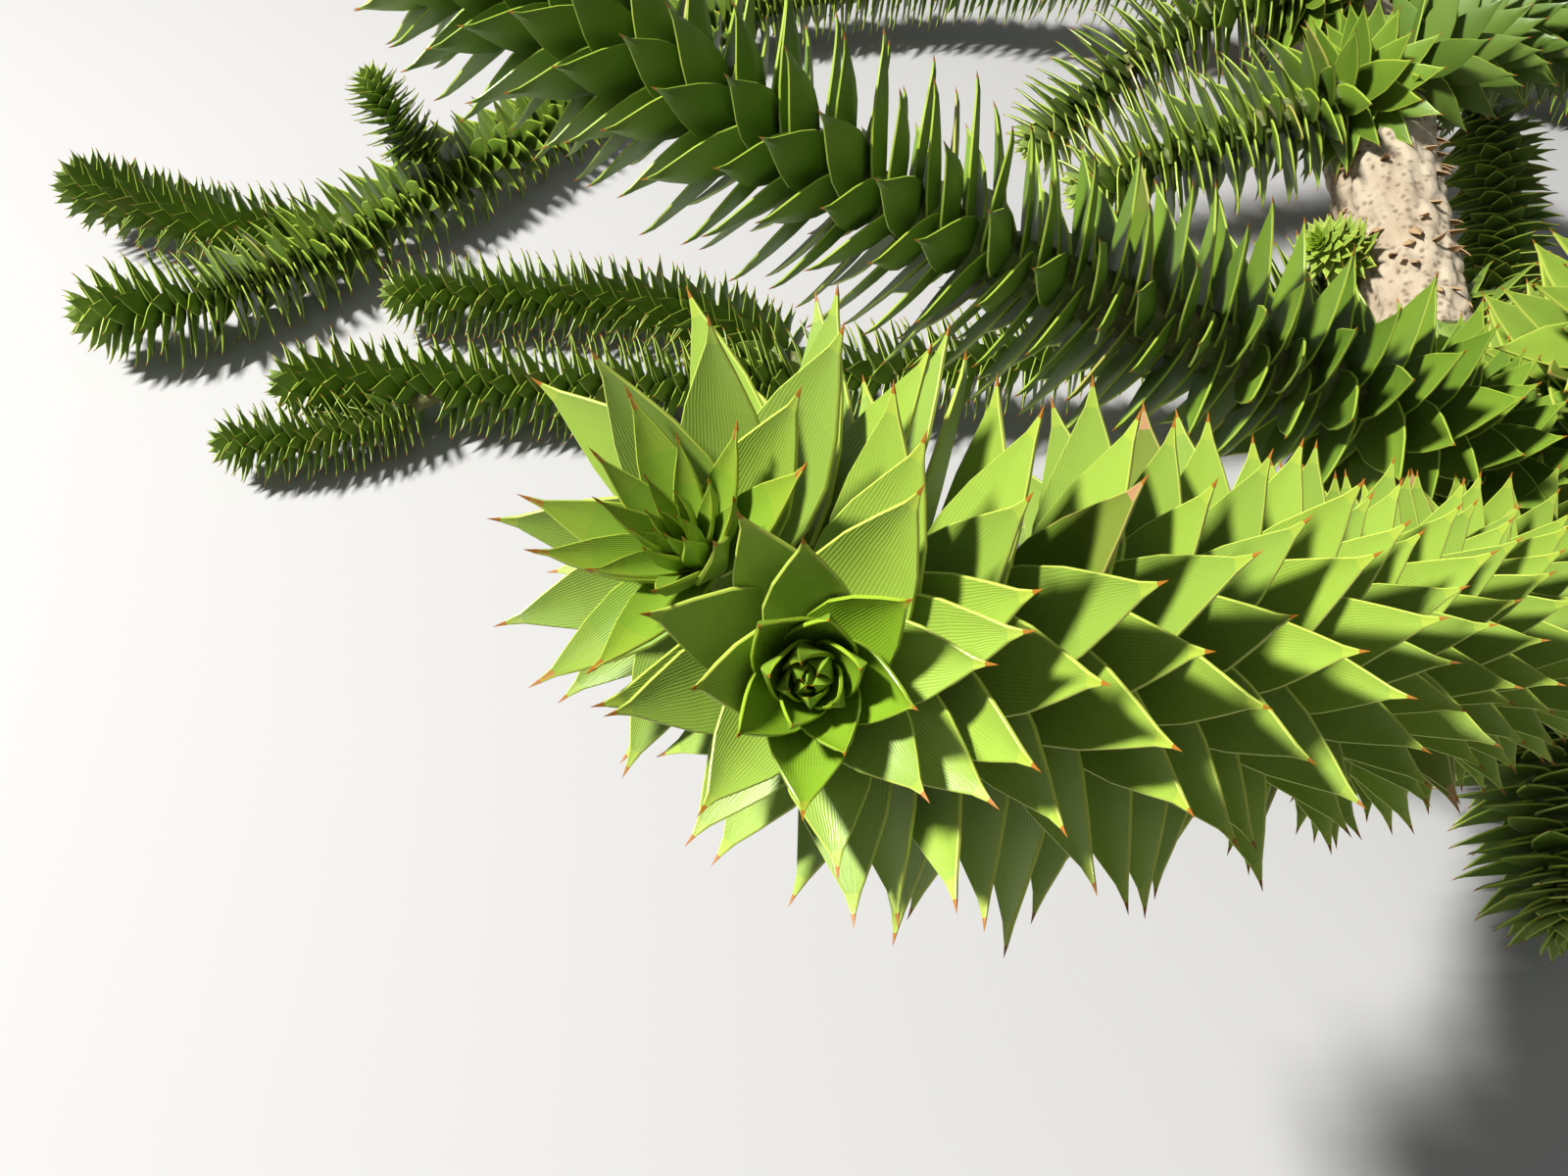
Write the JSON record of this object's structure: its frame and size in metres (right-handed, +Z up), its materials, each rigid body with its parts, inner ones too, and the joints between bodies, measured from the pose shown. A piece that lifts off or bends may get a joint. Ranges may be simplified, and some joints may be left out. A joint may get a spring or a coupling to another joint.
{
  "type": "monkey puzzle branch",
  "caption": "Cut bough of a monkey puzzle tree lying on the ground: a bare sawn limb with spiralled shoots of stiff, broad, sharp-tipped evergreen leaves.",
  "frame": {"origin": "on the ground under the middle of the bough's box", "axes": "+X along the bough's longest side, +Y towards the sawn end of the limb, +Z up from the ground"},
  "size_m": [1.5239, 1.2976, 0.4869],
  "materials": {
    "bark": "rough tan bark with leaf scars, paler sawn wood at the cut",
    "foliage": "leathery dark green leaves with a soft sheen, yellow margins and brown points",
    "young_foliage": "leathery bright green leaves with a soft sheen, yellow margins and orange points"
  },
  "bodies": {
    "root": {"limb": "bark", "shoot_front": "young_foliage", "shoot_behind": "foliage", "shoot_upright": "foliage", "shoot_low_front": "foliage", "shoot_left_near": "foliage", "shoot_left_near_twig": "foliage", "shoot_left_mid": "foliage", "shoot_left_arch": "foliage", "shoot_right_arch": "foliage", "shoot_right_droop": "foliage", "shoot_left_back_root": "foliage", "shoot_left_back": "foliage", "shoot_left_back_twig": "foliage", "shoot_left_back_spur": "foliage", "shoot_right_back": "foliage", "shoot_right_near": "foliage", "sprout": "young_foliage", "shoot_left_arch_back": "foliage"}
  },
  "joints": []
}
